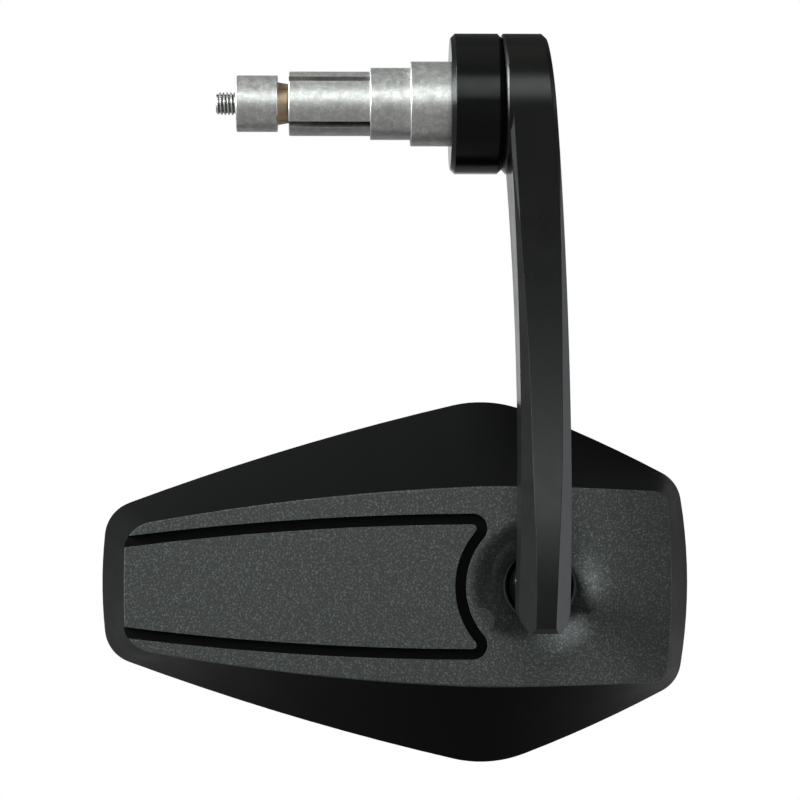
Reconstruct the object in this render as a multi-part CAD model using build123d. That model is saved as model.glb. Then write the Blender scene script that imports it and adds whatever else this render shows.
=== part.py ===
from build123d import *
import math
import os

# Motorcycle bar end mirror, in millimetres.
# X runs out of the bar end, Y from the front of the bike towards the rider, Z up.
# The origin is on the bar axis, where the end of the bar meets the collar.

# Clamp inside the bar
pilot_diameter = 18.7
pilot_length = 8.75
spigot_diameter = 15.0
spigot_length = 3.0
shoulder_diameter = 15.9
shoulder_length = 8.9
finger_diameter = 14.2
finger_length = 17.9
finger_bore = 7.2
finger_root = 2.0
slot_count = 4
slot_width = 1.5
step_chamfer = 0.15

# Cone nut that spreads the fingers
cone_gap = 2.55
cone_draw = 2.0
cone_diameter = 9.45
cone_length = 9.0
cone_angle = 9.8
nut_diameter = 12.45
nut_length = 9.05
rib_length = 7.5

# Clamp bolt and its washer
bolt_diameter = 5.0
bolt_stick_out = 4.5
bolt_tip_chamfer = 0.6
head_diameter = 8.5
head_height = 5.0
head_chamfer = 0.3
socket_width = 4.0
socket_depth = 2.5
washer_diameter = 10.0
washer_thickness = 1.0

# Collar between bar and arm
collar_diameter = 31.0
collar_width = 11.4
collar_chamfer = 1.0

# Arm, hollow at the front down to a waist and swelling again towards its end
# The waist, the start of the swelling and the widest bow are shares of its length
arm_length = 116.1
arm_root_offset = 5.9
arm_bow = 3.5
bow_share = 0.705
arm_root_thickness = 10.4
arm_end_thickness = 11.25
waist_depth = 4.0
waist_share = 0.413
swell_share = 0.758
arm_rear_reach = 5.5
arm_seat_wall = 4.6
edge_chamfer = 0.95
front_bevel = 3.45
front_bevel_angle = 62.0
front_bevel_start = 12.0
front_bevel_steps = (0.0, 0.25, 0.5, 0.75, 1.0, 1.25)
end_edge = 1.2
end_corner_width = 3.3
end_corner_height = 5.0

# Ball stud in the end of the arm
ball_from_end = 8.3
ball_shift = 0.3
ball_diameter = 17.0
ball_flat = 6.0
neck_diameter = 8.0
neck_flats = 7.0
neck_edge = 1.0
shank_diameter = 6.0
shank_length = 10.0
spot_face_depth = 1.4

# Ball seat in the housing
hole_lap = 0.1
dish_depth = 3.5
dish_diameter = 28.4
dish_shoulder = 8.0
liner_wall = 0.85
liner_front = 3.3
liner_rear = 1.0
ring_front = 3.0
ring_rear = 5.4
seat_wall = 2.4

# Plate that closes the ball seat
plate_thickness = 1.5
plate_hole = 15.2
plate_ear_radius = 3.6
plate_screw_count = 3
plate_screw_circle = 31.0

# Screws
screw_diameter = 3.0
screw_length = 7.0
screw_head_diameter = 5.2
screw_head_height = 1.5
screw_post_wall = 1.4

# Housing, its corners measured from the ball axis
# Bows run left end, long side, short side, right end; radii run left, middle, right
head_gap = 7.2
facet_depth = 16.5
rim_depth = 6.0
housing_wall = 2.2
ledge_width = 1.8
rim_chamfer = 0.6
rim_left_corner = (-99.3, 16.6)
rim_apex = (-11.0, 42.9)
rim_right_corner = (32.9, 23.4)
rim_bows = (1.3, 1.7, 1.0, 2.3)
rim_radii = (8.5, 28.0, 8.2)
panel_left_corner = (-93.9, 13.6)
panel_apex = (-12.0, 22.45)
panel_right_corner = (28.4, 21.4)
panel_bows = (0.25, 1.6, 0.3, 1.17)
panel_radii = (7.0, 250.0, 3.0)
cavity_step = 1.0

# Groove round the inner panel
groove_width = 2.45
groove_depth = 1.2
groove_left_height = 8.3
groove_right_height = 14.1
groove_bow = 1.45
groove_bend = 19.4
groove_corner = 0.9

# Mirror glass, its adhesive pad and its carrier
dome_radius = 1200.0
glass_rise = 0.2
glass_thickness = 2.0
pad_thickness = 0.8
carrier_thickness = 1.6
glass_gap = 0.3
pad_inset = 3.0
carrier_posts = ((-72.0, 9.5), (-72.0, -9.5), (-6.0, 26.5), (-6.0, -26.5))
countersink_depth = 1.2
countersink_sink = 0.25

# Clearances
running_fit = 0.05
bolt_clearance = 0.25
rib_clearance = 0.1

# Worked out from the sizes above
bolt_radius = bolt_diameter / 2
bolt_hole_radius = bolt_radius + bolt_clearance
mouth_x = -(pilot_length + shoulder_length + finger_length)
nut_face_x = mouth_x - cone_gap
nut_end_x = nut_face_x - nut_length
cone_slope = math.tan(math.radians(cone_angle))
bolt_seat_x = collar_width + arm_seat_wall
bolt_head_x = bolt_seat_x + washer_thickness
disc_radius = collar_diameter / 2
waist_reach = disc_radius - waist_depth
waist_drop = waist_share * arm_length
swell_drop = swell_share * arm_length
hollow_radius = (waist_reach**2 + waist_drop**2 - disc_radius**2) / (2 * waist_depth)
swell_angle = math.asin((swell_drop - waist_drop) / hollow_radius)
swell_reach = waist_reach + hollow_radius * (1 - math.cos(swell_angle))
arm_end_z = end_edge - arm_length
swell_run = -arm_end_z - swell_drop
swell_radius = swell_run / math.sin(swell_angle)
arm_front_reach = swell_reach + swell_run * math.tan(swell_angle / 2)
arm_root_x = collar_width + arm_root_offset
bow_drop = bow_share * arm_length
bow_x = arm_root_x + arm_bow
ball_x = bow_x + ball_shift
ball_radius = ball_diameter / 2
hole_radius = ball_radius - hole_lap
panel_y = arm_rear_reach + head_gap
rim_y = panel_y + facet_depth
rim_end_y = rim_y + rim_depth
hole_y = panel_y + dish_depth
dish_slope = math.atan2(dish_depth, dish_diameter / 2 - hole_radius)
dish_edge = dish_diameter / 2 + dish_shoulder * math.tan(dish_slope / 2)
liner_inner = ball_radius + running_fit
liner_outer = liner_inner + liner_wall
seat_radius = liner_outer + running_fit
ball_y = hole_y + math.sqrt(seat_radius**2 - hole_radius**2)
ball_z = ball_from_end - arm_length
neck_y = arm_rear_reach - spot_face_depth
plate_y = ball_y + ring_rear
screw_radius = screw_diameter / 2
post_radius = screw_radius + running_fit + screw_post_wall
glass_apex = rim_end_y + glass_rise
pad_apex = glass_apex - glass_thickness
carrier_apex = pad_apex - pad_thickness
carrier_back = carrier_apex - carrier_thickness
dome_x = (rim_left_corner[0] - rim_bows[0] + rim_right_corner[0] + rim_bows[3]) / 2
reach = 4 * collar_diameter


def turned(points):
    """Solid of revolution about the bar axis, drawn as X and radius."""
    return revolve(make_face(Polyline(*points, close=True)), Axis.X)


def tube(outer, inner, start, end):
    """Plain ring round the bar axis, from one X to another."""
    return turned([(start, inner), (end, inner), (end, outer), (start, outer)])


def head_plane(y):
    """Plane of the head at a depth, with the ball axis as its origin."""
    return Plane(origin=(ball_x, y, ball_z), x_dir=(1, 0, 0), z_dir=(0, -1, 0))


def turned_on_ball(*edges):
    """Solid of revolution about the ball axis, drawn as radius and depth."""
    profile = Plane(origin=(ball_x, 0, ball_z), x_dir=(1, 0, 0), z_dir=(0, 0, 1))
    axis = Axis((ball_x, 0, ball_z), (0, 1, 0))
    return revolve(profile * make_face(edges), axis)


def rod_on_head(x, z, radius, start, end):
    """Round bar along Y at a place on the head."""
    return extrude(head_plane(end) * Pos(x, z) * Circle(radius), amount=end - start)


def clamp_sleeve():
    """Stepped die-cast sleeve whose slotted fingers grip the bar from inside."""
    shoulder_x = -(pilot_length + shoulder_length)
    mouth = cone_diameter / 2 - (cone_gap - cone_draw) * cone_slope + running_fit
    taper_x = mouth_x + (mouth - finger_bore / 2) / cone_slope
    bore_x = shoulder_x - finger_root
    finger = finger_diameter / 2
    shoulder = shoulder_diameter / 2
    pilot = pilot_diameter / 2
    spigot = spigot_diameter / 2
    body = turned(
        [
            (mouth_x, mouth),
            (taper_x, finger_bore / 2),
            (bore_x, finger_bore / 2),
            (bore_x, bolt_hole_radius),
            (spigot_length, bolt_hole_radius),
            (spigot_length, spigot),
            (0, spigot),
            (0, pilot),
            (step_chamfer - pilot_length, pilot),
            (-pilot_length, pilot - step_chamfer),
            (-pilot_length, shoulder),
            (shoulder_x + step_chamfer, shoulder),
            (shoulder_x, shoulder - step_chamfer),
            (shoulder_x, finger),
            (mouth_x + step_chamfer, finger),
            (mouth_x, finger - step_chamfer),
        ]
    )
    slot_length = shoulder_x - mouth_x
    slot = Pos(mouth_x, 0, 0) * Box(
        2 * slot_length, slot_width, finger_diameter, align=(Align.CENTER, Align.CENTER, Align.MIN)
    )
    for turn in range(slot_count):
        body -= Rot(X=(turn + 0.5) * 360 / slot_count) * slot
    return body


def cone_nut():
    """Round nut with a ribbed cone, drawn into the fingers by the bolt."""
    bore = bolt_radius + running_fit
    nut = nut_diameter / 2
    cone = cone_diameter / 2
    tip = cone - cone_length * cone_slope
    body = turned(
        [
            (nut_end_x, bore),
            (nut_face_x + cone_length, bore),
            (nut_face_x + cone_length, tip),
            (nut_face_x, cone),
            (nut_face_x, nut - step_chamfer),
            (nut_face_x - step_chamfer, nut),
            (nut_end_x + step_chamfer, nut),
            (nut_end_x, nut - step_chamfer),
        ]
    )
    rib_width = slot_width - 2 * rib_clearance
    rib = Pos(nut_face_x, 0, tip) * Box(
        rib_length, rib_width, cone - tip, align=(Align.MIN, Align.CENTER, Align.MIN)
    )
    for turn in range(slot_count):
        body += Rot(X=(turn + 0.5) * 360 / slot_count) * rib
    return body


def clamp_bolt():
    """Socket head bolt through arm, collar, sleeve and cone nut."""
    tip_x = nut_end_x - bolt_stick_out
    head = head_diameter / 2
    top_x = bolt_head_x + head_height
    body = turned(
        [
            (tip_x, 0),
            (top_x, 0),
            (top_x, head - head_chamfer),
            (top_x - head_chamfer, head),
            (bolt_head_x, head),
            (bolt_head_x, bolt_radius),
            (tip_x + bolt_tip_chamfer, bolt_radius),
            (tip_x, bolt_radius - bolt_tip_chamfer),
        ]
    )
    hexagon = RegularPolygon(socket_width / 2, 6, major_radius=False)
    return body - extrude(Plane.YZ.offset(top_x - socket_depth) * hexagon, amount=socket_depth)


def bolt_washer():
    return tube(washer_diameter / 2, bolt_hole_radius, bolt_seat_x, bolt_head_x)


def spacer_collar():
    """Turned ring that stands against the bar end and centres the sleeve."""
    recess = spigot_diameter / 2 + running_fit
    return turned(
        [
            (0, recess),
            (spigot_length, recess),
            (spigot_length, bolt_hole_radius),
            (collar_width, bolt_hole_radius),
            (collar_width, disc_radius - collar_chamfer),
            (collar_width - collar_chamfer, disc_radius),
            (collar_chamfer, disc_radius),
            (0, disc_radius - collar_chamfer),
        ]
    )


def front_edges():
    """Front of the arm seen from the side: hollow from the round top, then swelling to the end."""
    top = Vector(-waist_reach - hollow_radius, -waist_drop).normalized() * disc_radius
    hollow = ThreePointArc(top, (-waist_reach, -waist_drop), (-swell_reach, -swell_drop))
    return [hollow, TangentArc(hollow @ 1, (-arm_front_reach, arm_end_z), tangent=hollow % 1)]


def rear_edge():
    """Back of the arm seen from the side, hollow from the round top to the end."""
    drop = arm_rear_reach**2 + arm_end_z**2 - disc_radius**2
    radius = drop / (2 * (disc_radius - arm_rear_reach))
    centre = Vector(arm_rear_reach + radius, arm_end_z)
    top = centre.normalized() * disc_radius
    return RadiusArc(top, (arm_rear_reach, arm_end_z), -radius)


def front_reach(z):
    """Distance of the front of the arm from the bar axis at a height."""
    if z > -swell_drop:
        return waist_reach + hollow_radius - math.sqrt(hollow_radius**2 - (z + waist_drop) ** 2)
    past = max(z - arm_end_z, 0)
    return arm_front_reach - swell_radius + math.sqrt(swell_radius**2 - past**2)


def arm_centre(z):
    """X of the middle of the bowed arm at a height."""
    return bow_x - arm_bow * ((z + bow_drop) / bow_drop) ** 2


def arm_edge(z, side):
    """X of the left or right face of the arm at a height."""
    thickness = arm_root_thickness + (arm_end_thickness - arm_root_thickness) * z / arm_end_z
    return arm_centre(z) + side * thickness / 2


def arm_band():
    """Bowed outline of the arm seen from the front, with cut corners at its end."""
    top_z = disc_radius + edge_chamfer
    corner_z = end_corner_height - arm_length
    floor_z = -arm_length - edge_chamfer
    sides = []
    feet = []
    for side in (-1, 1):
        heights = (top_z, (top_z + corner_z) / 2, corner_z)
        sides.append(ThreePointArc(*[(arm_edge(z, side), z) for z in heights]))
        start = Vector(arm_edge(corner_z, side), corner_z)
        foot = Vector(start.X - side * end_corner_width, floor_z)
        sides.append(TangentArc(start, foot, tangent=(0, -1)))
        feet.append(foot)
    top = Line((arm_edge(top_z, -1), top_z), (arm_edge(top_z, 1), top_z))
    return make_face([*sides, top, Line(*feet)])


def front_bevel_cutter(side):
    """Wedge whose cut widens the front bevel of the arm towards its end."""
    angle = math.radians(front_bevel_angle)
    across = Vector(-side * math.sin(angle), math.cos(angle), 0)
    points = []
    for share in front_bevel_steps:
        z = -front_bevel_start + share * (arm_end_z + front_bevel_start)
        bevel = edge_chamfer / 2 + (front_bevel - edge_chamfer / 2) * share
        edge_x = side * arm_edge(z, side) - bevel
        points.append((-math.sin(angle) * edge_x - math.cos(angle) * front_reach(z), z))
    outside = points[0][0] - collar_diameter
    edge = Spline(*points)
    back = Polyline(points[-1], (outside, points[-1][1]), (outside, points[0][1]), points[0])
    plane = Plane(origin=(0, 0, 0), x_dir=across, z_dir=across.cross(Vector(0, 0, 1)))
    return extrude(plane * make_face([edge, back]), amount=reach, both=True)


def arm():
    """Bowed arm with a round pad for the collar and a widening front bevel."""
    hollow, swell = front_edges()
    rear = rear_edge()
    front_foot = (end_edge - arm_front_reach, -arm_length)
    end = Polyline(swell @ 1, front_foot, (arm_rear_reach - end_edge, -arm_length), rear @ 1)
    blade = make_face([hollow, swell, end, rear, Line(rear @ 0, hollow @ 0)])
    side_view = extrude(Plane.YZ * (blade + Circle(disc_radius)), amount=reach)
    body = side_view & extrude(Plane.XZ * arm_band(), amount=reach, both=True)
    side_edges = body.edges().sort_by(SortBy.LENGTH)[-2:]
    body = chamfer(side_edges, edge_chamfer)
    for side in (-1, 1):
        body -= front_bevel_cutter(side)
    pad_radius = disc_radius - edge_chamfer
    body += turned(
        [
            (0, 0),
            (arm_root_x, 0),
            (arm_root_x, disc_radius),
            (collar_width + edge_chamfer, disc_radius),
            (collar_width, pad_radius),
            (0, pad_radius),
        ]
    )
    body -= tube(2 * disc_radius, 0, -reach, collar_width)
    body -= tube(bolt_hole_radius, 0, 0, reach)
    body -= tube(washer_diameter / 2 + bolt_clearance, 0, bolt_seat_x, reach)
    shank = shank_diameter / 2 + running_fit
    body -= rod_on_head(0, 0, shank, neck_y - shank_length - running_fit, ball_y)
    return body - rod_on_head(0, 0, neck_diameter / 2 + bolt_clearance, neck_y, ball_y)


def on_ball(radius, depth):
    """Point of a ball's profile at a depth from its centre."""
    return (math.sqrt(radius**2 - depth**2), ball_y + depth)


def ball_arc(radius, start, end):
    """Arc of a ball's profile between two depths from its centre."""
    return ThreePointArc(*[on_ball(radius, depth) for depth in (start, (start + end) / 2, end)])


def ball_stud():
    """Polished ball on a neck with spanner flats and a threaded shank."""
    neck = neck_diameter / 2
    shank = shank_diameter / 2
    ball = ball_arc(ball_radius, -math.sqrt(ball_radius**2 - neck**2), ball_flat)
    tip_y = neck_y - shank_length
    outline = Polyline(
        ball @ 1,
        (0, ball_y + ball_flat),
        (0, tip_y),
        (shank, tip_y),
        (shank, neck_y),
        (neck, neck_y),
        ball @ 0,
    )
    stud = turned_on_ball(ball, outline)
    flat_length = (ball @ 0).Y - neck_y - neck_edge
    for side in (-1, 1):
        centre_x = ball_x + side * (neck_flats + neck) / 2
        flat = Box(neck, flat_length, neck_diameter, align=(Align.CENTER, Align.MIN, Align.CENTER))
        stud -= Pos(centre_x, neck_y, ball_z) * flat
    return stud


def seat_liner():
    """Nylon liner between the ball and its seat in the housing."""
    outer = ball_arc(liner_outer, -liner_front, liner_rear)
    inner = ball_arc(liner_inner, liner_rear, -liner_front)
    return turned_on_ball(outer, Line(outer @ 1, inner @ 0), inner, Line(inner @ 1, outer @ 0))


def rear_ring():
    """Nylon ring that presses the ball forward into the liner."""
    outer = seat_radius - running_fit
    inner = ball_arc(liner_inner, ring_front, ring_rear)
    front_y = ball_y + ring_front
    return turned_on_ball(inner, Polyline(inner @ 1, (outer, plate_y), (outer, front_y), inner @ 0))


def bowed(start, end, bow):
    """Edge that bows outwards by a small height, on an outline drawn anticlockwise."""
    start = Vector(*start)
    end = Vector(*end)
    along = (end - start).normalized()
    return ThreePointArc(start, (start + end) / 2 + Vector(along.Y, -along.X) * bow, end)


def head_outline(left, apex, right, bows, radii):
    """Six-sided outline of the head, with bowed sides and rounded corners."""
    upper = [right, apex, left]
    corners = [(x, -z) for x, z in reversed(upper)] + upper
    left_bow, upper_bow, right_bow, end_bow = bows
    sides = [upper_bow, right_bow, end_bow, right_bow, upper_bow, left_bow]
    edges = []
    for place, bow in enumerate(sides):
        edges.append(bowed(corners[place], corners[(place + 1) % len(corners)], bow))
    face = make_face(edges).face()
    for corner, radius in zip(corners, [*radii, *reversed(radii)]):
        vertex = face.vertices().sort_by_distance(Vector(*corner))[0]
        face = face.fillet_2d(radius, [vertex])
    return face


def rim_outline():
    return head_outline(rim_left_corner, rim_apex, rim_right_corner, rim_bows, rim_radii)


def panel_outline():
    return head_outline(
        panel_left_corner, panel_apex, panel_right_corner, panel_bows, panel_radii
    )


def moved_outline(face, distance):
    """Outline moved outwards by a distance, or inwards by a negative one, with true arcs."""
    edges = []
    for edge in offset(face, distance).edges():
        if edge.geom_type == GeomType.LINE:
            edges.append(edge)
        else:
            edges.append(ThreePointArc(edge @ 0, edge @ 0.5, edge @ 1))
    return make_face(edges).face()


def inset(face, distance):
    return moved_outline(face, -distance)


def prism(face, start, end):
    """Straight solid of a head outline between two depths."""
    return extrude(head_plane(end) * face, amount=end - start)


def dome(apex):
    """Ball whose surface is the gentle dome of the glass, at a depth on its axis."""
    radius = dome_radius - (glass_apex - apex)
    return Pos(ball_x + dome_x, apex - radius, ball_z) * Sphere(radius)


def domed_sheet(face, front, back):
    """Sheet bent to the dome, cut to an outline."""
    return (prism(face, rim_y - rim_depth, rim_end_y + rim_depth) & dome(front)) - dome(back)


def inner_panel():
    """Outline inside the groove: two bowed runs and a bend round the dish."""
    left_x = rim_left_corner[0]
    bend_x = -math.sqrt(groove_bend**2 - groove_right_height**2)
    upper = bowed((bend_x, groove_right_height), (left_x, groove_left_height), groove_bow)
    lower = bowed((left_x, -groove_left_height), (bend_x, -groove_right_height), groove_bow)
    bend = ThreePointArc(lower @ 1, (-groove_bend, 0), upper @ 0)
    face = make_face([upper, Line(upper @ 1, lower @ 0), lower, bend]).face()
    for corner in (lower @ 1, upper @ 0):
        vertex = face.vertices().sort_by_distance(corner)[0]
        face = face.fillet_2d(groove_corner, [vertex])
    return face


def groove():
    """Groove of even width round the inner panel, running out at the left end."""
    inner = inner_panel()
    outer = moved_outline(inner, groove_width)
    top_y = panel_y - groove_depth
    floor_y = panel_y + groove_depth
    return prism(outer, top_y, floor_y) - prism(inner, top_y, floor_y)


def ball_dish():
    """Dish with a soft shoulder, the ball seat behind it and the wall round the seat."""
    outer = dish_edge + housing_wall
    front = FilletPolyline(
        (outer, panel_y), (dish_diameter / 2, panel_y), (hole_radius, hole_y), radius=dish_shoulder
    )
    seat = ball_arc(seat_radius, hole_y - ball_y, 0)
    wall = seat_radius + seat_wall
    back = Polyline(
        (seat_radius, ball_y),
        (seat_radius, plate_y),
        (wall, plate_y),
        (wall, hole_y),
        (dish_edge, panel_y + housing_wall),
        (outer, panel_y + housing_wall),
        (outer, panel_y),
    )
    return turned_on_ball(front, seat, back)


def plate_screw_places():
    """Places of the plate screws round the ball axis."""
    radius = plate_screw_circle / 2
    places = []
    for turn in range(plate_screw_count):
        angle = math.radians(turn * 360 / plate_screw_count)
        places.append((radius * math.sin(angle), radius * math.cos(angle)))
    return places


def housing():
    """Moulded back of the mirror head, hollow, with dish, groove and screw posts."""
    rim = rim_outline()
    panel = panel_outline()
    pocket = inset(rim, housing_wall)
    opening = inset(rim, housing_wall + ledge_width)
    floor_y = panel_y + housing_wall
    shape = loft([head_plane(panel_y) * panel, head_plane(rim_y) * rim], ruled=True)
    back = prism(rim, rim_y, rim_end_y)
    back_face = back.faces().sort_by(Axis.Y)[-1]
    shape += chamfer(back_face.edges(), rim_chamfer)
    floor = inset(panel, cavity_step)
    body = shape - loft([head_plane(floor_y) * floor, head_plane(rim_y) * opening], ruled=True)
    body -= prism(opening, rim_y, rim_end_y + rim_depth)
    body -= prism(pocket, rim_y - rim_depth, rim_end_y + rim_depth) - dome(carrier_back)
    body -= rod_on_head(0, 0, dish_edge, 0, floor_y)
    posts = [rod_on_head(x, z, post_radius, panel_y, plate_y) for x, z in plate_screw_places()]
    for x, z in carrier_posts:
        posts.append(rod_on_head(x, z, post_radius, panel_y, rim_end_y) & dome(carrier_back))
    body += ball_dish()
    for post in posts:
        body += post & shape
    screw_hole = screw_radius + running_fit
    for x, z in plate_screw_places():
        body -= rod_on_head(x, z, screw_hole, plate_y - screw_length, rim_end_y)
    for x, z in carrier_posts:
        top = countersunk_top(x, z)
        body -= rod_on_head(x, z, screw_hole, top - screw_length - running_fit, rim_end_y)
    body -= rod_on_head(0, 0, seat_radius, ball_y, rim_end_y)
    return body - groove()


def clamp_plate():
    """Three-eared steel plate that holds the ring against the ball."""
    places = plate_screw_places()
    ears = Sketch() + [Pos(x, z) * Circle(plate_ear_radius) for x, z in places]
    back_y = plate_y + plate_thickness
    plate = prism(make_hull(ears.edges()), plate_y, back_y)
    plate -= rod_on_head(0, 0, plate_hole / 2, plate_y, back_y)
    for x, z in places:
        plate -= rod_on_head(x, z, screw_radius + running_fit, plate_y, back_y)
    return plate


def plate_screw(x, z):
    """Pan head screw through the clamp plate."""
    seat_y = plate_y + plate_thickness
    shank = rod_on_head(x, z, screw_radius, plate_y - screw_length, seat_y)
    return shank + rod_on_head(x, z, screw_head_diameter / 2, seat_y, seat_y + screw_head_height)


def countersunk_top(x, z):
    """Depth of the top of a carrier screw, a little below the domed carrier."""
    radius = dome_radius - (glass_apex - carrier_apex)
    return carrier_apex - radius + math.sqrt(radius**2 - (x - dome_x) ** 2 - z**2) - countersink_sink


def countersunk(x, z, clearance, length):
    """Countersunk screw form along Y, with a clearance all round."""
    top = countersunk_top(x, z)
    head = screw_head_diameter / 2 + clearance
    shank = screw_radius + clearance
    cone = Rot(X=-90) * Cone(shank, head, countersink_depth)
    cone = Pos(ball_x + x, top - countersink_depth / 2, ball_z + z) * cone
    return cone + rod_on_head(x, z, shank, top - length, top)


def carrier_screw(x, z):
    """Countersunk screw that holds the carrier on its post."""
    return countersunk(x, z, 0, screw_length)


def glass_carrier():
    """Domed plastic carrier that rests on the ledge and the posts."""
    sheet = domed_sheet(inset(rim_outline(), housing_wall + glass_gap), carrier_apex, carrier_back)
    for x, z in carrier_posts:
        top = countersunk_top(x, z)
        sheet -= countersunk(x, z, running_fit, screw_length)
        sheet -= rod_on_head(x, z, screw_head_diameter / 2 + running_fit, top, rim_end_y)
    return sheet


def adhesive_pad():
    """Adhesive sheet between carrier and glass."""
    return domed_sheet(inset(rim_outline(), housing_wall + pad_inset), pad_apex, carrier_apex)


def mirror_glass():
    """Gently domed mirror glass inside the rim."""
    return domed_sheet(inset(rim_outline(), housing_wall + glass_gap), glass_apex, pad_apex)


parts = {
    "clamp_sleeve": clamp_sleeve(),
    "cone_nut": cone_nut(),
    "clamp_bolt": clamp_bolt(),
    "bolt_washer": bolt_washer(),
    "spacer_collar": spacer_collar(),
    "arm": arm(),
    "ball_stud": ball_stud(),
    "seat_liner": seat_liner(),
    "rear_ring": rear_ring(),
    "housing": housing(),
    "clamp_plate": clamp_plate(),
    "glass_carrier": glass_carrier(),
    "adhesive_pad": adhesive_pad(),
    "mirror_glass": mirror_glass(),
}
for number, place in enumerate(plate_screw_places(), 1):
    parts[f"plate_screw_{number}"] = plate_screw(*place)
for number, place in enumerate(carrier_posts, 1):
    parts[f"carrier_screw_{number}"] = carrier_screw(*place)

os.makedirs("parts", exist_ok=True)
for name, solid in parts.items():
    export_step(solid, f"parts/{name}.step")
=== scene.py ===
import math

import bmesh
import bpy
from bpy.props import FloatProperty, FloatVectorProperty, PointerProperty
from mathutils import Matrix, Vector


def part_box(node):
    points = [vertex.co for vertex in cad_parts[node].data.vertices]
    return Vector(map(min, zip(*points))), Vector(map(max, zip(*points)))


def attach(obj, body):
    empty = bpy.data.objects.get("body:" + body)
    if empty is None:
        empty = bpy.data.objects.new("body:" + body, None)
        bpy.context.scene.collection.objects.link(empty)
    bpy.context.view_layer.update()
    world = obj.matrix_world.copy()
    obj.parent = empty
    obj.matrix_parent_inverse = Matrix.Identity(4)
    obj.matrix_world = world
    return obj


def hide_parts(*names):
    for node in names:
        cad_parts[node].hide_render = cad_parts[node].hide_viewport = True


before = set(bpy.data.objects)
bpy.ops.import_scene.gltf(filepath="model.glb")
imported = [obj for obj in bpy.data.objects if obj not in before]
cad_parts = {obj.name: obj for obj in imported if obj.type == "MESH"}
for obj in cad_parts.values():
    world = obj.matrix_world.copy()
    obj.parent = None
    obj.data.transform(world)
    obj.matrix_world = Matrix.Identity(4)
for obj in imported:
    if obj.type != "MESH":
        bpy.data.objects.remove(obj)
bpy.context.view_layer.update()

bl_info = {
    "name": "Bar End Mirror",
    "version": (1, 0, 0),
    "blender": (4, 5, 0),
    "location": "3D View > Sidebar > Bar Mirror",
    "description": "Finishes, threaded bolt and studio of a motorcycle bar end mirror",
    "category": "Object",
}

bolt_low, bolt_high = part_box("clamp_bolt")
housing_low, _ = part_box("housing")
_, nut_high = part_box("cone_nut")
ball_low, ball_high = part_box("ball_stud")
ball_axis = [(low + high) / 2 for low, high in zip(ball_low, ball_high)]

# Meshes: lengths in metres.
weld_distance = 1e-6
cut_tolerance = 1e-7
sharp_angle = math.radians(32)
thread_corners = 28
socket_side_cuts = 8
socket_ring = 1.08

# Finishes: depths and widths over which one look passes into the next, in metres.
cone_blur = 0.0004
dish_blur = 0.0002
grain_end = (0.0001, 0.0004)
post_end = (0.000003, 0.000008)
turned_edge = 0.0002

# Studio: half sizes of the sheets, and each lamp's name, place, size and colour.
floor_half = 10.0
backdrop_half = (0.5, 0.38)
backdrop_x = 0.15
sensor_width = 36.0
lamp_spread = math.radians(65)
lamps = (
    ("key", (0.0, -0.95, 0.38), (0.4, 0.64), (0.95, 1.0, 0.98)),
    ("top", (-0.05, -0.1, 0.8), (0.9, 0.7), (1.0, 0.93, 0.85)),
    ("left", (-0.68, -0.135, 0.25), (0.2, 0.5), (0.95, 1.0, 1.0)),
    ("right", (0.86, 0.36, 0.0), (0.4, 0.7), (0.9, 0.95, 1.0)),
)


def colour(label, words, value):
    """Colour property of a finish."""
    return FloatVectorProperty(
        name=label, description=words, default=value, size=3, subtype="COLOR", min=0.0, max=1.0
    )


def number(label, words, value, **options):
    """Number property."""
    return FloatProperty(name=label, description=words, default=value, **options)


def length(label, words, value):
    """Length property, in metres."""
    return number(label, words, value, unit="LENGTH", precision=5)


def power(label, words, value):
    """Power property of a lamp, in watts."""
    return number(label, words, value, unit="POWER")


class BoltSettings(bpy.types.PropertyGroup):
    """Sizes of the clamp bolt that the CAD leaves plain."""

    diameter: length("Diameter", "Outside diameter of the thread", 0.005)
    pitch: length("Pitch", "Advance of the thread in one turn", 0.0008)
    thread_depth: length("Thread depth", "Depth of the thread below its crest", 0.0005)
    thread_length: length("Thread length", "Length of the thread from the tip", 0.019)
    tip_chamfer: length("Tip chamfer", "Chamfer at the tip of the bolt", 0.0005)
    head_height: length("Head height", "Height of the socket head", 0.005)
    head_edge: length("Head edge", "Chamfer round the top of the head", 0.0003)
    socket_width: length("Socket width", "Width across the flats of the socket", 0.004)
    socket_depth: length("Socket depth", "Depth of the socket", 0.0025)


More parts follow.
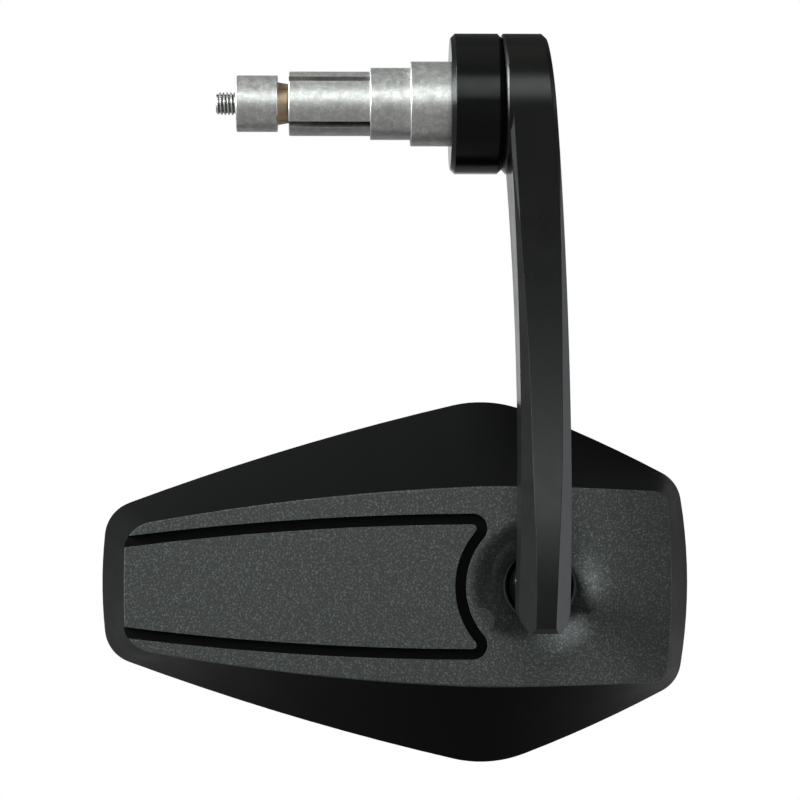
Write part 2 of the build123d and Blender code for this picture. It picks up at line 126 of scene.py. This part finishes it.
class FinishSettings(bpy.types.PropertyGroup):
    """Colours and grain sizes of the mirror's finishes."""

    panel: colour("Grained plastic", "Moulded panel of the head", (0.016, 0.0175, 0.017))
    facet: colour("Smooth plastic", "Smooth facets of the head", (0.003, 0.003, 0.003))
    coat: colour("Arm coat", "Satin coat of the arm", (0.0025, 0.0025, 0.0025))
    anodised: colour("Collar", "Anodised skin of the collar", (0.003, 0.003, 0.0032))
    zinc_dark: colour("Dark zinc", "Darker patches of the die casting", (0.34, 0.34, 0.335))
    zinc_light: colour("Light zinc", "Lighter patches of the die casting", (0.57, 0.57, 0.555))
    cone: colour("Cone", "Greased cone of the nut", (0.34, 0.25, 0.17))
    steel: colour("Plated steel", "Zinc plating of bolt and screws", (0.56, 0.56, 0.55))
    ball: colour("Ball", "Blackened steel of the ball", (0.12, 0.12, 0.125))
    glass: colour("Mirror", "Silver behind the glass", (0.86, 0.88, 0.89))
    nylon: colour("Nylon", "Liner and ring of the ball", (0.05, 0.05, 0.052))
    moulding: colour("Carrier plastic", "Plain moulding behind the glass", (0.035, 0.035, 0.036))
    foam: colour("Adhesive", "Foam sheet under the glass", (0.06, 0.06, 0.06))
    panel_grain: length("Panel grain", "Size of the grain of the moulded panel", 0.00042)
    coat_grain: length("Coat grain", "Size of the grain of the arm's coat", 0.00028)
    zinc_patch: length("Zinc patches", "Size of the patches on the casting", 0.0014)
    tool_line: length("Turning lines", "Distance of the turning lines on the collar", 0.00012)
    edge_radius: length("Moulded edges", "Radius that softens moulded edges", 0.00025)
    dish_radius: length("Dish radius", "Radius of the grained dish round the ball", 0.0166)
    shoulder_width: length("Shoulder width", "Width of the dish's round shoulder", 0.004)
    shoulder_round: length("Shoulder round", "Radius of the dish's round shoulder", 0.008)
    cone_length: length("Cone length", "Length of the cone beyond the nut's face", 0.009)


class StageSettings(bpy.types.PropertyGroup):
    """Camera, lamps, floor and backdrop of the studio."""

    distance: length("Camera distance", "Distance of the camera from the bar axis", 0.6)
    turn: number("Camera turn", "Turn of the camera round the mirror", math.radians(1.0), subtype="ANGLE")
    lens: number("Lens", "Focal length in millimetres", 121.95)
    aim: FloatVectorProperty(
        name="Aim", description="Point at the middle of the picture",
        default=(-0.01103, 0.0, -0.06553), subtype="TRANSLATION",
    )
    floor_drop: length("Floor", "Distance of the floor below the mirror", 0.6)
    floor_white: number("Floor white", "Share of plain white in the floor as seen", 0.38)
    backdrop: length("Backdrop", "Distance of the backdrop behind the mirror", 1.3)
    key_power: power("Key lamp", "Power of the soft box in front", 0.66)
    top_power: power("Top lamp", "Power of the soft box above", 0.08)
    left_power: power("Left lamp", "Power of the soft box at the left", 4.8)
    right_power: power("Right lamp", "Power of the soft box at the right", 0.35)
    room: number("Room", "Level of the grey room round the mirror", 0.1)


def add(tree, kind, values=None, **settings):
    """New node with its settings and its input values by socket name."""
    node = tree.nodes.new(kind)
    for name, value in settings.items():
        setattr(node, name, value)
    for name, value in (values or {}).items():
        node.inputs[name].default_value = value
    return node


def feed(tree, socket, value):
    """Link another socket to a socket, or set it to a plain value."""
    if isinstance(value, bpy.types.NodeSocket):
        tree.links.new(value, socket)
    else:
        socket.default_value = value


def combine(tree, operation, first, second):
    """Result of a math operation on two values; a value is a number or a socket."""
    node = add(tree, "ShaderNodeMath", operation=operation)
    feed(tree, node.inputs[0], first)
    feed(tree, node.inputs[1], second)
    return node.outputs[0]


def new_material(name, metallic=0.0, specular=0.5):
    """Material with its shader's plain numbers set; returns it, its tree, shader and coordinates."""
    material = bpy.data.materials.new(name)
    material.use_nodes = True
    tree = material.node_tree
    shader = tree.nodes["Principled BSDF"]
    shader.inputs["Metallic"].default_value = metallic
    shader.inputs["Specular IOR Level"].default_value = specular
    place = add(tree, "ShaderNodeTexCoord").outputs["Object"]
    return material, tree, shader, place


def new_group(name, inputs, outputs):
    """Empty shader group with named number inputs beside its Vector; returns tree, inputs and outputs."""
    tree = bpy.data.node_groups.new(name, "ShaderNodeTree")
    tree.interface.new_socket("Vector", in_out="INPUT", socket_type="NodeSocketVector")
    for label, value in inputs.items():
        socket = tree.interface.new_socket(label, in_out="INPUT", socket_type="NodeSocketFloat")
        socket.default_value = value
    for label in outputs:
        tree.interface.new_socket(label, in_out="OUTPUT", socket_type="NodeSocketFloat")
    given = tree.nodes.new("NodeGroupInput").outputs
    result = tree.nodes.new("NodeGroupOutput").inputs
    return tree, given, result


def sized_noise(tree, place, size, detail, roughness):
    """Noise whose features have the size that a socket gives."""
    noise = add(tree, "ShaderNodeTexNoise", {"Detail": detail, "Roughness": roughness})
    tree.links.new(place, noise.inputs["Vector"])
    tree.links.new(combine(tree, "DIVIDE", 1.0, size), noise.inputs["Scale"])
    return noise.outputs["Fac"]


def spread(tree, value, low, high):
    """Value stretched so that low becomes 0 and high becomes 1."""
    limits = {"From Min": low, "From Max": high}
    stretch = add(tree, "ShaderNodeMapRange", limits, interpolation_type="SMOOTHSTEP")
    tree.links.new(value, stretch.inputs["Value"])
    return stretch.outputs["Result"]


def grain_group():
    """Fine grain of moulded and sprayed surfaces: its height and its pale specks."""
    tree, given, result = new_group("Fine grain", {"Size": 0.0004}, ("Height", "Specks"))
    height = sized_noise(tree, given["Vector"], given["Size"], detail=2.0, roughness=0.6)
    tree.links.new(height, result["Height"])
    tree.links.new(spread(tree, height, low=0.48, high=0.72), result["Specks"])
    return tree


def uneven_group():
    """Broad, soft unevenness of a finish between two values."""
    inputs = {"Size": 0.01, "Low": 0.3, "High": 0.4}
    tree, given, result = new_group("Uneven finish", inputs, ("Value",))
    noise = sized_noise(tree, given["Vector"], given["Size"], detail=4.0, roughness=0.55)
    stretch = add(tree, "ShaderNodeMapRange", {"From Min": 0.32, "From Max": 0.68})
    tree.links.new(noise, stretch.inputs["Value"])
    tree.links.new(given["Low"], stretch.inputs["To Min"])
    tree.links.new(given["High"], stretch.inputs["To Max"])
    tree.links.new(stretch.outputs["Result"], result["Value"])
    return tree


def casting_group():
    """Mottled skin of a die casting: broad patches, fine skin and its height."""
    inputs = {"Patch": 0.0035, "Skin": 0.0005}
    tree, given, result = new_group("Casting skin", inputs, ("Patches", "Skin", "Height"))
    patches = sized_noise(tree, given["Vector"], given["Patch"], detail=5.0, roughness=0.62)
    skin = sized_noise(tree, given["Vector"], given["Skin"], detail=3.0, roughness=0.6)
    tree.links.new(spread(tree, patches, low=0.34, high=0.66), result["Patches"])
    tree.links.new(spread(tree, skin, low=0.3, high=0.7), result["Skin"])
    patch_height = combine(tree, "MULTIPLY", patches, 0.4)
    tree.links.new(combine(tree, "ADD", patch_height, skin), result["Height"])
    return tree


def place_group(tree, build, label, place, **values):
    """Shared group put into a material with its own values; returns its outputs."""
    shared = bpy.data.node_groups.get(label) or build()
    node = add(tree, "ShaderNodeGroup", values, node_tree=shared)
    tree.links.new(place, node.inputs["Vector"])
    return node.outputs


def grain(tree, place, size):
    """Fine grain of a size, in metres."""
    return place_group(tree, grain_group, "Fine grain", place, Size=size)


def uneven(tree, place, size, low, high):
    """Value that drifts between two limits over a distance, in metres."""
    outputs = place_group(tree, uneven_group, "Uneven finish", place, Size=size, Low=low, High=high)
    return outputs["Value"]


def scaled(tint, gain):
    """Colour made lighter or darker."""
    return tuple(gain * part for part in tint)


def blend_colours(tree, share, first, second):
    """Mix of two colours by a share; a colour is a tuple or a socket."""
    mix = add(tree, "ShaderNodeMix", data_type="RGBA")
    tree.links.new(share, mix.inputs["Factor"])
    for socket, value in ((mix.inputs[6], first), (mix.inputs[7], second)):
        linked = isinstance(value, bpy.types.NodeSocket)
        feed(tree, socket, value if linked else (*value, 1.0))
    return mix.outputs[2]


def blend_values(tree, share, first, second):
    """Mix of two numbers by a share; a number is plain or a socket."""
    mix = add(tree, "ShaderNodeMix", data_type="FLOAT")
    tree.links.new(share, mix.inputs["Factor"])
    feed(tree, mix.inputs[2], first)
    feed(tree, mix.inputs[3], second)
    return mix.outputs[0]


def bump(tree, shader, height, depth, strength, normal=None):
    """Bump of a height in metres into the shader's normal."""
    node = add(tree, "ShaderNodeBump", {"Strength": strength, "Distance": depth})
    tree.links.new(height, node.inputs["Height"])
    if normal is not None:
        tree.links.new(normal, node.inputs["Normal"])
    tree.links.new(node.outputs["Normal"], shader.inputs["Normal"])


def axis_value(tree, place, axis):
    """One coordinate of the object."""
    split = add(tree, "ShaderNodeSeparateXYZ")
    tree.links.new(place, split.inputs[0])
    return split.outputs[axis]


def axis_distance(tree, place, across, centre=(0.0, 0.0, 0.0)):
    """Distance from an axis through a centre; across is 0 along the axis and 1 across it."""
    shift = tuple(-share * part for share, part in zip(across, centre))
    flat = add(tree, "ShaderNodeMapping", {"Location": shift, "Scale": across})
    tree.links.new(place, flat.inputs["Vector"])
    distance = add(tree, "ShaderNodeVectorMath", operation="LENGTH")
    tree.links.new(flat.outputs["Vector"], distance.inputs[0])
    return distance.outputs["Value"]


def soft_edges(tree, radius):
    """Normal that rounds sharp edges by a small radius."""
    return add(tree, "ShaderNodeBevel", {"Radius": radius}, samples=6).outputs["Normal"]


def finishes():
    """Settings of the finishes."""
    return bpy.context.scene.mirror_finish


def dress(node, material):
    """Give a CAD node its finished material."""
    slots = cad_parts[node].data.materials
    slots.clear()
    slots.append(material)


def cast_zinc(name, cone_from=None):
    """Bare die-cast zinc, mottled grey, with a warm greased cone past a place on X."""
    settings = finishes()
    material, tree, shader, place = new_material(name, metallic=0.9)
    sizes = {"Patch": settings.zinc_patch, "Skin": 0.00035}
    skin = place_group(tree, casting_group, "Casting skin", place, **sizes)
    patchy = blend_values(tree, skin["Skin"], 0.25, skin["Patches"])
    tone = blend_colours(tree, patchy, settings.zinc_dark, settings.zinc_light)
    if cone_from is not None:
        along = axis_value(tree, place, "X")
        past = spread(tree, along, low=cone_from, high=cone_from + cone_blur)
        tone = blend_colours(tree, past, tone, settings.cone)
    rough = uneven(tree, place, size=0.0012, low=0.38, high=0.5)
    tree.links.new(tone, shader.inputs["Base Color"])
    tree.links.new(rough, shader.inputs["Roughness"])
    bump(tree, shader, skin["Height"], depth=0.00002, strength=0.5)
    return material


def plating(name, tone_of, low, high):
    """Plated steel with its fine skin; tone_of gives the colour from tree and coordinates."""
    material, tree, shader, place = new_material(name, metallic=1.0)
    rough = uneven(tree, place, size=0.0008, low=low, high=high)
    tree.links.new(tone_of(tree, place), shader.inputs["Base Color"])
    tree.links.new(rough, shader.inputs["Roughness"])
    bump(tree, shader, grain(tree, place, 0.00025)["Height"], depth=0.000006, strength=0.5)
    return material


def cloudy_tone(tree, place):
    """Colour of a faintly cloudy plating."""
    steel = finishes().steel
    cloud = uneven(tree, place, size=0.0015, low=0.0, high=1.0)
    return blend_colours(tree, cloud, scaled(steel, 0.75), steel)


def thread_tone(tree, place):
    """Colour of the bolt's plating, with painted shade darkening the roots of its thread."""
    steel = finishes().steel
    sizes = bpy.context.scene.mirror_bolt
    crest, depth = sizes.diameter / 2, sizes.thread_depth
    radius = axis_distance(tree, place, across=(0.0, 1.0, 1.0))
    # Painted shade: the plating darkens to 0.42 of its colour towards the thread's roots, where shade
    # falls.
    unshaded_share = spread(tree, radius, low=crest - 0.8 * depth, high=crest - 0.15 * depth)
    return blend_colours(tree, unshaded_share, scaled(steel, 0.42), steel)


def plated_steel():
    """Zinc plated steel, shared by the washer, the plate and the screws."""
    name = "plated_steel_finish"
    return bpy.data.materials.get(name) or plating(name, cloudy_tone, low=0.26, high=0.4)


def threaded_steel():
    """Zinc plated steel of the bolt."""
    return plating("bolt_finish", thread_tone, low=0.3, high=0.42)


def black_anodised():
    """Satin black anodised skin with fine turning lines round the bar axis."""
    settings = finishes()
    material, tree, shader, place = new_material("black_anodised_finish", specular=0.1)
    noise = add(tree, "ShaderNodeTexNoise", {"Detail": 2.0, "Scale": 1.0}, noise_dimensions="1D")
    along = combine(tree, "MULTIPLY", axis_value(tree, place, "X"), 1.0 / settings.tool_line)
    tree.links.new(along, noise.inputs["W"])
    lines = noise.outputs["Fac"]
    tone = blend_colours(tree, lines, settings.anodised, scaled(settings.anodised, 1.6))
    rough = uneven(tree, place, size=0.004, low=0.16, high=0.22)
    tree.links.new(tone, shader.inputs["Base Color"])
    tree.links.new(rough, shader.inputs["Roughness"])
    edges = soft_edges(tree, turned_edge)
    bump(tree, shader, lines, depth=0.000004, strength=0.6, normal=edges)
    return material


def black_coat():
    """Satin black coat with a very fine grain."""
    settings = finishes()
    material, tree, shader, place = new_material("black_coat_finish", specular=0.24)
    fine = grain(tree, place, settings.coat_grain)
    tone = blend_colours(tree, fine["Specks"], settings.coat, scaled(settings.coat, 2.0))
    rough = uneven(tree, place, size=0.006, low=0.27, high=0.32)
    tree.links.new(tone, shader.inputs["Base Color"])
    tree.links.new(rough, shader.inputs["Roughness"])
    edges = soft_edges(tree, turned_edge)
    bump(tree, shader, fine["Height"], depth=0.00002, strength=0.5, normal=edges)
    return material


def polished_steel():
    """Blackened and polished steel of the ball with faint hairlines."""
    ball = finishes().ball
    material, tree, shader, place = new_material("polished_steel_finish", metallic=1.0)
    cloud = uneven(tree, place, size=0.003, low=0.0, high=1.0)
    tone = blend_colours(tree, cloud, scaled(ball, 0.92), ball)
    rough = uneven(tree, place, size=0.0008, low=0.05, high=0.12)
    tree.links.new(tone, shader.inputs["Base Color"])
    tree.links.new(rough, shader.inputs["Roughness"])
    bump(tree, shader, grain(tree, place, 0.0002)["Height"], depth=0.000001, strength=0.4)
    return material


def shoulder_normal(tree, front, distance):
    """Soft edges, with the round of the dish's shoulder carried over the flat post ends in it."""
    settings = finishes()
    edge = settings.dish_radius - dish_blur
    limits = {"From Min": edge, "From Max": edge - settings.shoulder_width}
    inward = add(tree, "ShaderNodeMapRange", limits)
    tree.links.new(distance, inward.inputs["Value"])
    drop = combine(tree, "POWER", inward.outputs["Result"], 2.0)
    panel_y = housing_low[1]
    behind = spread(tree, front, low=panel_y + post_end[0], high=panel_y + post_end[1])
    height = blend_values(tree, behind, drop, 0.0)
    depth = settings.shoulder_width ** 2 / (2 * settings.shoulder_round)
    fall = add(tree, "ShaderNodeBump", {"Strength": 1.0, "Distance": depth}, invert=True)
    tree.links.new(height, fall.inputs["Height"])
    tree.links.new(soft_edges(tree, settings.edge_radius), fall.inputs["Normal"])
    return fall.outputs["Normal"]


def grained_moulding():
    """Black moulded plastic: a grained panel and dish, smooth facets and groove."""
    settings = finishes()
    material, tree, shader, place = new_material("grained_moulding_finish", specular=0.03)
    shader.inputs["Coat Roughness"].default_value = 0.45
    panel_y = housing_low[1]
    front = axis_value(tree, place, "Y")
    distance = axis_distance(tree, place, across=(1.0, 0.0, 1.0), centre=ball_axis)
    dish = settings.dish_radius
    deep = spread(tree, front, low=panel_y + grain_end[0], high=panel_y + grain_end[1])
    outside = spread(tree, distance, low=dish, high=dish + dish_blur)
    smooth = combine(tree, "MULTIPLY", deep, outside)
    fine = grain(tree, place, settings.panel_grain)
    grained = blend_colours(tree, fine["Specks"], settings.panel, scaled(settings.panel, 4.0))
    tone = blend_colours(tree, smooth, grained, settings.facet)
    gloss = uneven(tree, place, size=0.012, low=0.34, high=0.42)
    sparkle = blend_values(tree, fine["Specks"], 0.75, 1.0)
    tree.links.new(tone, shader.inputs["Base Color"])
    tree.links.new(blend_values(tree, smooth, 0.6, gloss), shader.inputs["Roughness"])
    tree.links.new(blend_values(tree, smooth, sparkle, 0.0), shader.inputs["Coat Weight"])
    height = blend_values(tree, smooth, fine["Height"], 0.5)
    rounded = shoulder_normal(tree, front, distance)
    bump(tree, shader, height, depth=0.00008, strength=0.7, normal=rounded)
    return material


def plain_plastic(name, tint, size, low, high):
    """Plain moulded plastic or foam with a fine skin and a roughness between two limits."""
    material, tree, shader, place = new_material(name, specular=0.4)
    fine = grain(tree, place, size)
    tone = blend_colours(tree, fine["Specks"], tint, scaled(tint, 1.5))
    rough = uneven(tree, place, size=10 * size, low=low, high=high)
    tree.links.new(tone, shader.inputs["Base Color"])
    tree.links.new(rough, shader.inputs["Roughness"])
    bump(tree, shader, fine["Height"], depth=0.1 * size, strength=0.5)
    return material


def silvered_glass():
    """Silvered mirror with the faint smears of a wiped glass."""
    glass = finishes().glass
    material, tree, shader, place = new_material("silvered_glass_finish", metallic=1.0)
    smear = uneven(tree, place, size=0.02, low=0.0, high=1.0)
    tone = blend_colours(tree, smear, scaled(glass, 0.96), glass)
    rough = uneven(tree, place, size=0.015, low=0.012, high=0.05)
    tree.links.new(tone, shader.inputs["Base Color"])
    tree.links.new(rough, shader.inputs["Roughness"])
    return material


def new_piece(name, bm):
    """Object of a finished mesh, smooth but for its sharp edges."""
    mesh = bpy.data.meshes.new(name)
    bm.to_mesh(mesh)
    bm.free()
    mesh.shade_smooth()
    mesh.set_sharp_from_angle(angle=sharp_angle)
    piece = bpy.data.objects.new(name, mesh)
    bpy.context.scene.collection.objects.link(piece)
    return piece


def profile(bm, points):
    """Open chain of points given as X and radius; returns its geometry for a spin."""
    verts = [bm.verts.new((x, 0.0, radius)) for x, radius in points]
    edges = [bm.edges.new(pair) for pair in zip(verts, verts[1:])]
    return verts + edges


def capped_cut(bm, x, side):
    """Cut the mesh off square at a place on X and close the cut."""
    everything = bm.verts[:] + bm.edges[:] + bm.faces[:]
    cut = bmesh.ops.bisect_plane(
        bm, geom=everything, dist=cut_tolerance, plane_co=(x, 0, 0), plane_no=(side, 0, 0),
        clear_outer=True,
    )
    rim = [part for part in cut["geom_cut"] if isinstance(part, bmesh.types.BMEdge)]
    bmesh.ops.holes_fill(bm, edges=rim)


def thread_mesh(settings, tip_x, end_x):
    """Closed threaded rod from the tip to a place inside the clamp."""
    bm = bmesh.new()
    crest = settings.diameter / 2
    root = crest - settings.thread_depth
    pitch = settings.pitch
    start = tip_x - 1.5 * pitch
    turns = math.ceil((end_x - start) / pitch) + 1
    # One pitch of the thread: the share of the pitch and the radius there.
    wave = ((0.0, root), (0.06, root), (0.36, crest), (0.64, crest), (0.94, root), (1.0, root))
    strip = profile(bm, [(start + share * pitch, radius) for share, radius in wave])
    bmesh.ops.spin(
        bm, geom=strip, axis=(1, 0, 0), cent=(0, 0, 0), dvec=(pitch / thread_corners, 0, 0),
        angle=2 * math.pi * turns, steps=turns * thread_corners,
    )
    bmesh.ops.remove_doubles(bm, verts=bm.verts, dist=weld_distance)
    capped_cut(bm, tip_x, -1)
    capped_cut(bm, end_x, 1)
    for vert in bm.verts:
        limit = crest - settings.tip_chamfer + (vert.co.x - tip_x)
        around = math.hypot(vert.co.y, vert.co.z)
        if around > limit:
            vert.co.y *= limit / around
            vert.co.z *= limit / around
    bmesh.ops.recalc_face_normals(bm, faces=bm.faces)
    return bm


def bolt_mesh(settings):
    """Clamp bolt: a real thread at its tip, a plain shank and a socket head."""
    tip_x, top_x = bolt_low[0], bolt_high[0]
    end_x = tip_x + settings.thread_length
    seat_x = top_x - settings.head_height
    head = (bolt_high[2] - bolt_low[2]) / 2
    shank = settings.diameter / 2
    corner = settings.socket_width / math.sqrt(3)
    bm = thread_mesh(settings, tip_x, end_x)
    outline = [
        (end_x - settings.pitch, 0.0),
        (end_x - settings.pitch, shank - settings.thread_depth),
        (end_x, shank),
        (seat_x, shank),
        (seat_x, head),
        (top_x - settings.head_edge, head),
        (top_x, head - settings.head_edge),
        (top_x, socket_ring * corner),
    ]
    body = profile(bm, outline)
    bmesh.ops.spin(
        bm, geom=body, axis=(1, 0, 0), cent=(0, 0, 0), angle=2 * math.pi,
        steps=6 * socket_side_cuts, use_merge=True,
    )
    bmesh.ops.remove_doubles(bm, verts=bm.verts, dist=weld_distance)
    rim = [edge for edge in bm.edges if edge.is_boundary]
    upright = Matrix.Translation((top_x, 0, 0)) @ Matrix.Rotation(math.pi / 2, 4, "Y")
    hexagon = bmesh.ops.create_circle(bm, segments=6, radius=corner, matrix=upright)["verts"]
    sides = list({edge for vert in hexagon for edge in vert.link_edges})
    bmesh.ops.subdivide_edges(bm, edges=sides, cuts=socket_side_cuts - 1)
    sides = [edge for edge in bm.edges if edge.is_wire]
    bmesh.ops.bridge_loops(bm, edges=rim + sides)
    drop = bmesh.ops.extrude_edge_only(bm, edges=sides)["geom"]
    floor = [part for part in drop if isinstance(part, bmesh.types.BMVert)]
    bmesh.ops.translate(bm, verts=floor, vec=(-settings.socket_depth, 0, 0))
    bmesh.ops.holes_fill(bm, edges=[edge for edge in bm.edges if edge.is_boundary])
    bmesh.ops.recalc_face_normals(bm, faces=bm.faces)
    return bm


class MirrorClamp(bpy.types.Operator):
    """Give the sleeve and the cone nut their cast finish"""

    bl_idname = "barmirror.clamp"
    bl_label = "Clamp castings"

    def execute(self, context):
        settings = context.scene.mirror_finish
        dress("clamp_sleeve", cast_zinc("cast_sleeve_finish"))
        dress("cone_nut", cast_zinc("cast_nut_finish", nut_high[0] - settings.cone_length))
        return {"FINISHED"}


class MirrorBolt(bpy.types.Operator):
    """Build the threaded bolt and plate it and its washer"""

    bl_idname = "barmirror.bolt"
    bl_label = "Clamp bolt"

    def execute(self, context):
        bolt = new_piece("threaded_bolt", bolt_mesh(context.scene.mirror_bolt))
        bolt.data.materials.append(threaded_steel())
        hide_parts("clamp_bolt")
        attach(bolt, "clamp_bolt")
        dress("bolt_washer", plated_steel())
        return {"FINISHED"}


class MirrorCollar(bpy.types.Operator):
    """Give the collar its anodised skin"""

    bl_idname = "barmirror.collar"
    bl_label = "Collar"

    def execute(self, context):
        dress("spacer_collar", black_anodised())
        return {"FINISHED"}


class MirrorArm(bpy.types.Operator):
    """Coat the arm"""

    bl_idname = "barmirror.arm"
    bl_label = "Arm"

    def execute(self, context):
        dress("arm", black_coat())
        return {"FINISHED"}


class MirrorBallJoint(bpy.types.Operator):
    """Finish the ball, its nylon seat, the plate behind it and the plate's screws"""

    bl_idname = "barmirror.ball_joint"
    bl_label = "Ball joint"

    def execute(self, context):
        settings = context.scene.mirror_finish
        dress("ball_stud", polished_steel())
        nylon = plain_plastic("nylon_finish", settings.nylon, size=0.0003, low=0.42, high=0.5)
        for node in ("seat_liner", "rear_ring"):
            dress(node, nylon)
        for node in ("clamp_plate", "plate_screw_1", "plate_screw_2", "plate_screw_3"):
            dress(node, plated_steel())
        return {"FINISHED"}


class MirrorHousing(bpy.types.Operator):
    """Give the housing its grained and smooth plastic"""

    bl_idname = "barmirror.housing"
    bl_label = "Housing"

    def execute(self, context):
        dress("housing", grained_moulding())
        return {"FINISHED"}


class MirrorGlass(bpy.types.Operator):
    """Finish the glass, its adhesive sheet, its carrier and the carrier's screws"""

    bl_idname = "barmirror.glass"
    bl_label = "Glass and carrier"

    def execute(self, context):
        settings = context.scene.mirror_finish
        foam = plain_plastic("adhesive_finish", settings.foam, size=0.0006, low=0.8, high=0.9)
        plastic = plain_plastic("carrier_finish", settings.moulding, size=0.0004, low=0.45, high=0.55)
        dress("mirror_glass", silvered_glass())
        dress("adhesive_pad", foam)
        dress("glass_carrier", plastic)
        for screw in range(1, 5):
            dress(f"carrier_screw_{screw}", plated_steel())
        return {"FINISHED"}


def stage_paper(name):
    """Matt pale paper of the studio; returns it, its tree, shader and coordinates."""
    material, tree, shader, place = new_material(name, specular=0.2)
    tone = uneven(tree, place, size=0.2, low=0.0, high=1.0)
    paper = blend_colours(tree, tone, (0.78, 0.78, 0.78), (0.82, 0.82, 0.82))
    tree.links.new(paper, shader.inputs["Base Color"])
    return material, tree, shader, place


def white_to_view(tree, shader, share):
    """Show a share of plain white to the camera and in reflections, and the shader to all other light."""
    path = add(tree, "ShaderNodeLightPath").outputs
    seen = combine(tree, "MAXIMUM", path["Is Camera Ray"], path["Is Glossy Ray"])
    seen = combine(tree, "MAXIMUM", seen, path["Is Transmission Ray"])
    white = add(tree, "ShaderNodeEmission", {"Color": (1.0, 1.0, 1.0, 1.0), "Strength": 1.0})
    mix = add(tree, "ShaderNodeMixShader")
    tree.links.new(combine(tree, "MULTIPLY", seen, share), mix.inputs[0])
    tree.links.new(shader.outputs[0], mix.inputs[1])
    tree.links.new(white.outputs[0], mix.inputs[2])
    tree.links.new(mix.outputs[0], tree.nodes["Material Output"].inputs["Surface"])


def stage_sheet(name, matrix, material):
    """Large flat sheet of the studio."""
    bm = bmesh.new()
    bmesh.ops.create_grid(bm, x_segments=1, y_segments=1, size=1.0, matrix=matrix)
    sheet = new_piece(name, bm)
    sheet.data.materials.append(material)


def lay_floor(settings):
    """Pale floor below the mirror."""
    material, tree, shader, place = stage_paper("floor_paper")
    rough = uneven(tree, place, size=0.05, low=0.7, high=0.8)
    tree.links.new(rough, shader.inputs["Roughness"])
    white_to_view(tree, shader, settings.floor_white)
    below = Matrix.Translation((0, 0, housing_low[2] - settings.floor_drop))
    stage_sheet("floor", below @ Matrix.Scale(floor_half, 4), material)


def hang_backdrop(settings):
    """White backdrop behind the mirror, as wide and high as the picture needs."""
    material, tree, shader, _ = stage_paper("backdrop_paper")
    white_to_view(tree, shader, 1.0)
    behind = Matrix.Translation((backdrop_x, settings.backdrop, settings.aim[2]))
    upright = Matrix.Rotation(math.pi / 2, 4, "X")
    stage_sheet("backdrop", behind @ upright @ Matrix.Diagonal((*backdrop_half, 1.0, 1.0)), material)


def soft_box(name, place, aim, size, watts, tint):
    """Rectangular lamp behind a grid that points at a place."""
    lamp = bpy.data.lights.new(name, "AREA")
    lamp.spread = lamp_spread
    lamp.shape = "RECTANGLE"
    lamp.size, lamp.size_y = size
    lamp.energy = watts
    lamp.color = tint
    box = bpy.data.objects.new(name, lamp)
    box.location = place
    box.rotation_euler = (aim - Vector(place)).to_track_quat("-Z", "Y").to_euler()
    box.visible_camera = False
    bpy.context.scene.collection.objects.link(box)


def light_room(scene, settings):
    """Even grey light from all sides."""
    world = bpy.data.worlds.new("room")
    world.use_nodes = True
    room = world.node_tree.nodes["Background"]
    room.inputs["Color"].default_value = (1.0, 1.0, 1.0, 1.0)
    room.inputs["Strength"].default_value = settings.room
    scene.world = world


def place_camera(scene, settings):
    """Level camera in front of the mirror, at the photograph's viewing angle."""
    camera = bpy.data.cameras.new("camera")
    camera.lens = settings.lens
    camera.sensor_width = sensor_width
    view = Vector((math.sin(settings.turn), math.cos(settings.turn), 0.0))
    stand = bpy.data.objects.new("camera", camera)
    stand.location = Vector(settings.aim) - view * settings.distance
    stand.rotation_euler = view.to_track_quat("-Z", "Y").to_euler()
    scene.collection.objects.link(stand)
    scene.camera = stand


class MirrorStage(bpy.types.Operator):
    """Set up floor, backdrop, lamps and camera"""

    bl_idname = "barmirror.stage"
    bl_label = "Studio"

    def execute(self, context):
        scene = context.scene
        settings = scene.mirror_stage
        scene.view_settings.view_transform = "Standard"
        lay_floor(settings)
        hang_backdrop(settings)
        aim = Vector(settings.aim)
        for name, place, size, tint in lamps:
            watts = getattr(settings, f"{name}_power")
            soft_box(f"{name}_lamp", place, aim, size, watts, tint)
        light_room(scene, settings)
        place_camera(scene, settings)
        return {"FINISHED"}


steps = (
    MirrorClamp, MirrorBolt, MirrorCollar, MirrorArm,
    MirrorBallJoint, MirrorHousing, MirrorGlass, MirrorStage,
)


class MirrorPanel(bpy.types.Panel):
    """Settings and steps of the bar end mirror"""

    bl_idname = "VIEW3D_PT_barmirror"
    bl_label = "Bar End Mirror"
    bl_space_type = "VIEW_3D"
    bl_region_type = "UI"
    bl_category = "Bar Mirror"

    def draw(self, context):
        for name in ("mirror_finish", "mirror_bolt", "mirror_stage"):
            group = getattr(context.scene, name)
            box = self.layout.box()
            for setting in group.__annotations__:
                box.prop(group, setting)
        for step in steps:
            self.layout.operator(step.bl_idname)


classes = (BoltSettings, FinishSettings, StageSettings, *steps, MirrorPanel)


def register():
    """Add the settings, steps and panel to Blender."""
    for part in classes:
        bpy.utils.register_class(part)
    bpy.types.Scene.mirror_bolt = PointerProperty(type=BoltSettings)
    bpy.types.Scene.mirror_finish = PointerProperty(type=FinishSettings)
    bpy.types.Scene.mirror_stage = PointerProperty(type=StageSettings)


def unregister():
    """Take them out again."""
    del bpy.types.Scene.mirror_stage
    del bpy.types.Scene.mirror_finish
    del bpy.types.Scene.mirror_bolt
    for part in reversed(classes):
        bpy.utils.unregister_class(part)


def main():
    """Run every step."""
    register()
    bpy.ops.barmirror.clamp()
    bpy.ops.barmirror.bolt()
    bpy.ops.barmirror.collar()
    bpy.ops.barmirror.arm()
    bpy.ops.barmirror.ball_joint()
    bpy.ops.barmirror.housing()
    bpy.ops.barmirror.glass()
    bpy.ops.barmirror.stage()


if __name__ == "__main__":
    main()
